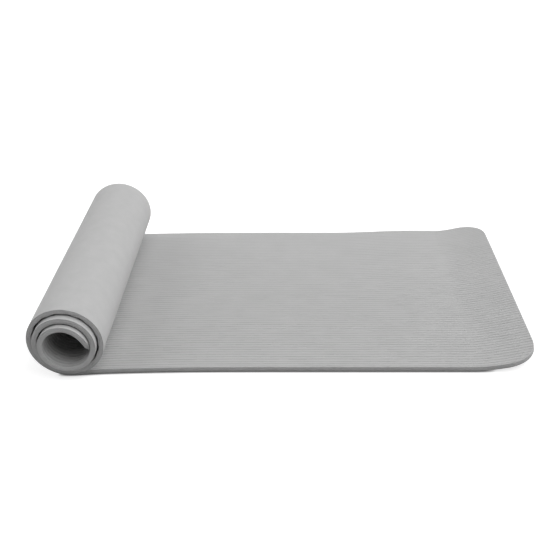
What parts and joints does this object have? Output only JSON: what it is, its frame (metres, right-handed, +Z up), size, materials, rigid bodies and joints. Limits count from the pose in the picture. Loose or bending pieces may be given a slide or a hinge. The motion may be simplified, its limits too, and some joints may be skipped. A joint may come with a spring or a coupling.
{
  "type": "exercise mat",
  "caption": "Ribbed foam exercise mat lying flat with one end rolled up, which unrolls by one turn; its free end curls over.",
  "frame": {"origin": "on the floor, under the middle of the stretch that lies quite flat, halfway across the mat", "axes": "+X along the mat towards its free end, +Y across it, away from the side seen first, +Z up"},
  "size_m": [0.9878, 0.6406, 0.1538],
  "materials": {
    "foam": "matte closed-cell foam, ribbed lengthways on its top, smooth underneath"
  },
  "bodies": {
    "flat_run": {"flat_run": "foam"},
    "outer_turn_01": {"outer_turn_01": "foam"},
    "outer_turn_02": {"outer_turn_02": "foam"},
    "outer_turn_03": {"outer_turn_03": "foam"},
    "outer_turn_04": {"outer_turn_04": "foam"},
    "outer_turn_05": {"outer_turn_05": "foam"},
    "outer_turn_06": {"outer_turn_06": "foam"},
    "outer_turn_07": {"outer_turn_07": "foam"},
    "outer_turn_08": {"outer_turn_08": "foam"},
    "outer_turn_09": {"outer_turn_09": "foam"},
    "outer_turn_10": {"outer_turn_10": "foam"},
    "outer_turn_11": {"outer_turn_11": "foam"},
    "outer_turn_12": {"outer_turn_12": "foam"},
    "outer_turn_13": {"outer_turn_13": "foam"},
    "outer_turn_14": {"outer_turn_14": "foam"},
    "outer_turn_15": {"outer_turn_15": "foam"},
    "inner_roll": {"inner_roll": "foam"},
    "free_end_1": {"free_end_1": "foam"},
    "free_end_2": {"free_end_2": "foam"},
    "free_end_3": {"free_end_3": "foam"},
    "free_end_4": {"free_end_4": "foam"},
    "free_end_5": {"free_end_5": "foam"},
    "free_end_6": {"free_end_6": "foam"}
  },
  "joints": [
    {"name": "unroll", "type": "hinge", "parent": "flat_run", "child": "outer_turn_01", "pos_m": [-0.27835, 0, 0.00155], "axis": [0, -1, 0], "range_deg": [0, 22.5]},
    {"name": "unroll_02", "type": "hinge", "parent": "outer_turn_01", "child": "outer_turn_02", "pos_m": [-0.30725, 0, 0.01351], "axis": [0, -1, 0], "range_deg": [0, 22.5]},
    {"name": "unroll_03", "type": "hinge", "parent": "outer_turn_02", "child": "outer_turn_03", "pos_m": [-0.329, 0, 0.03523], "axis": [0, -1, 0], "range_deg": [0, 22.5]},
    {"name": "unroll_04", "type": "hinge", "parent": "outer_turn_03", "child": "outer_turn_04", "pos_m": [-0.34058, 0, 0.06314], "axis": [0, -1, 0], "range_deg": [0, 22.5]},
    {"name": "unroll_05", "type": "hinge", "parent": "outer_turn_04", "child": "outer_turn_05", "pos_m": [-0.34059, 0, 0.09294], "axis": [0, -1, 0], "range_deg": [0, 22.5]},
    {"name": "unroll_06", "type": "hinge", "parent": "outer_turn_05", "child": "outer_turn_06", "pos_m": [-0.32927, 0, 0.12028], "axis": [0, -1, 0], "range_deg": [0, 22.5]},
    {"name": "unroll_07", "type": "hinge", "parent": "outer_turn_06", "child": "outer_turn_07", "pos_m": [-0.30842, 0, 0.14113], "axis": [0, -1, 0], "range_deg": [0, 22.5]},
    {"name": "unroll_08", "type": "hinge", "parent": "outer_turn_07", "child": "outer_turn_08", "pos_m": [-0.28128, 0, 0.15238], "axis": [0, -1, 0], "range_deg": [0, 22.5]},
    {"name": "unroll_09", "type": "hinge", "parent": "outer_turn_08", "child": "outer_turn_09", "pos_m": [-0.25212, 0, 0.15239], "axis": [0, -1, 0], "range_deg": [0, 22.5]},
    {"name": "unroll_10", "type": "hinge", "parent": "outer_turn_09", "child": "outer_turn_10", "pos_m": [-0.22555, 0, 0.1414], "axis": [0, -1, 0], "range_deg": [0, 22.5]},
    {"name": "unroll_11", "type": "hinge", "parent": "outer_turn_10", "child": "outer_turn_11", "pos_m": [-0.20558, 0, 0.12145], "axis": [0, -1, 0], "range_deg": [0, 22.5]},
    {"name": "unroll_12", "type": "hinge", "parent": "outer_turn_11", "child": "outer_turn_12", "pos_m": [-0.19496, 0, 0.09587], "axis": [0, -1, 0], "range_deg": [0, 22.5]},
    {"name": "unroll_13", "type": "hinge", "parent": "outer_turn_12", "child": "outer_turn_13", "pos_m": [-0.19495, 0, 0.06858], "axis": [0, -1, 0], "range_deg": [0, 22.5]},
    {"name": "unroll_14", "type": "hinge", "parent": "outer_turn_13", "child": "outer_turn_14", "pos_m": [-0.20531, 0, 0.04357], "axis": [0, -1, 0], "range_deg": [0, 22.5]},
    {"name": "unroll_15", "type": "hinge", "parent": "outer_turn_14", "child": "outer_turn_15", "pos_m": [-0.22437, 0, 0.0245], "axis": [0, -1, 0], "range_deg": [0, 22.5]},
    {"name": "unroll_16", "type": "hinge", "parent": "outer_turn_15", "child": "inner_roll", "pos_m": [-0.24919, 0, 0.01422], "axis": [0, -1, 0], "range_deg": [0, 22.5]},
    {"name": "curl", "type": "hinge", "parent": "flat_run", "child": "free_end_1", "pos_m": [0.40938, 0, 0.01235], "axis": [0.0006, -1, -0.0078], "range_deg": [0, 30]},
    {"name": "curl_2", "type": "hinge", "parent": "free_end_1", "child": "free_end_2", "pos_m": [0.44949, 0, 0.01284], "axis": [0.0002, -1, -0.0095], "range_deg": [0, 30]},
    {"name": "curl_3", "type": "hinge", "parent": "free_end_2", "child": "free_end_3", "pos_m": [0.48962, 0, 0.01283], "axis": [-0.0002, -1, -0.0094], "range_deg": [0, 30]},
    {"name": "curl_4", "type": "hinge", "parent": "free_end_3", "child": "free_end_4", "pos_m": [0.52973, 0, 0.01231], "axis": [-0.0006, -1, -0.0077], "range_deg": [0, 30]},
    {"name": "curl_5", "type": "hinge", "parent": "free_end_4", "child": "free_end_5", "pos_m": [0.56622, 0, 0.01715], "axis": [0.0022, -1, -0.0086], "range_deg": [0, 30]},
    {"name": "curl_6", "type": "hinge", "parent": "free_end_5", "child": "free_end_6", "pos_m": [0.60401, 0, 0.02621], "axis": [0.005, -0.9999, -0.0121], "range_deg": [0, 30]}
  ],
  "couplings": [
    {"joint": "unroll_02", "follows": "unroll", "ratio": 1},
    {"joint": "unroll_03", "follows": "unroll", "ratio": 1},
    {"joint": "unroll_04", "follows": "unroll", "ratio": 1},
    {"joint": "unroll_05", "follows": "unroll", "ratio": 1},
    {"joint": "unroll_06", "follows": "unroll", "ratio": 1},
    {"joint": "unroll_07", "follows": "unroll", "ratio": 1},
    {"joint": "unroll_08", "follows": "unroll", "ratio": 1},
    {"joint": "unroll_09", "follows": "unroll", "ratio": 1},
    {"joint": "unroll_10", "follows": "unroll", "ratio": 1},
    {"joint": "unroll_11", "follows": "unroll", "ratio": 1},
    {"joint": "unroll_12", "follows": "unroll", "ratio": 1},
    {"joint": "unroll_13", "follows": "unroll", "ratio": 1},
    {"joint": "unroll_14", "follows": "unroll", "ratio": 1},
    {"joint": "unroll_15", "follows": "unroll", "ratio": 1},
    {"joint": "unroll_16", "follows": "unroll", "ratio": 1},
    {"joint": "curl_2", "follows": "curl", "ratio": 1},
    {"joint": "curl_3", "follows": "curl", "ratio": 1},
    {"joint": "curl_4", "follows": "curl", "ratio": 1},
    {"joint": "curl_5", "follows": "curl", "ratio": 1},
    {"joint": "curl_6", "follows": "curl", "ratio": 1}
  ]
}
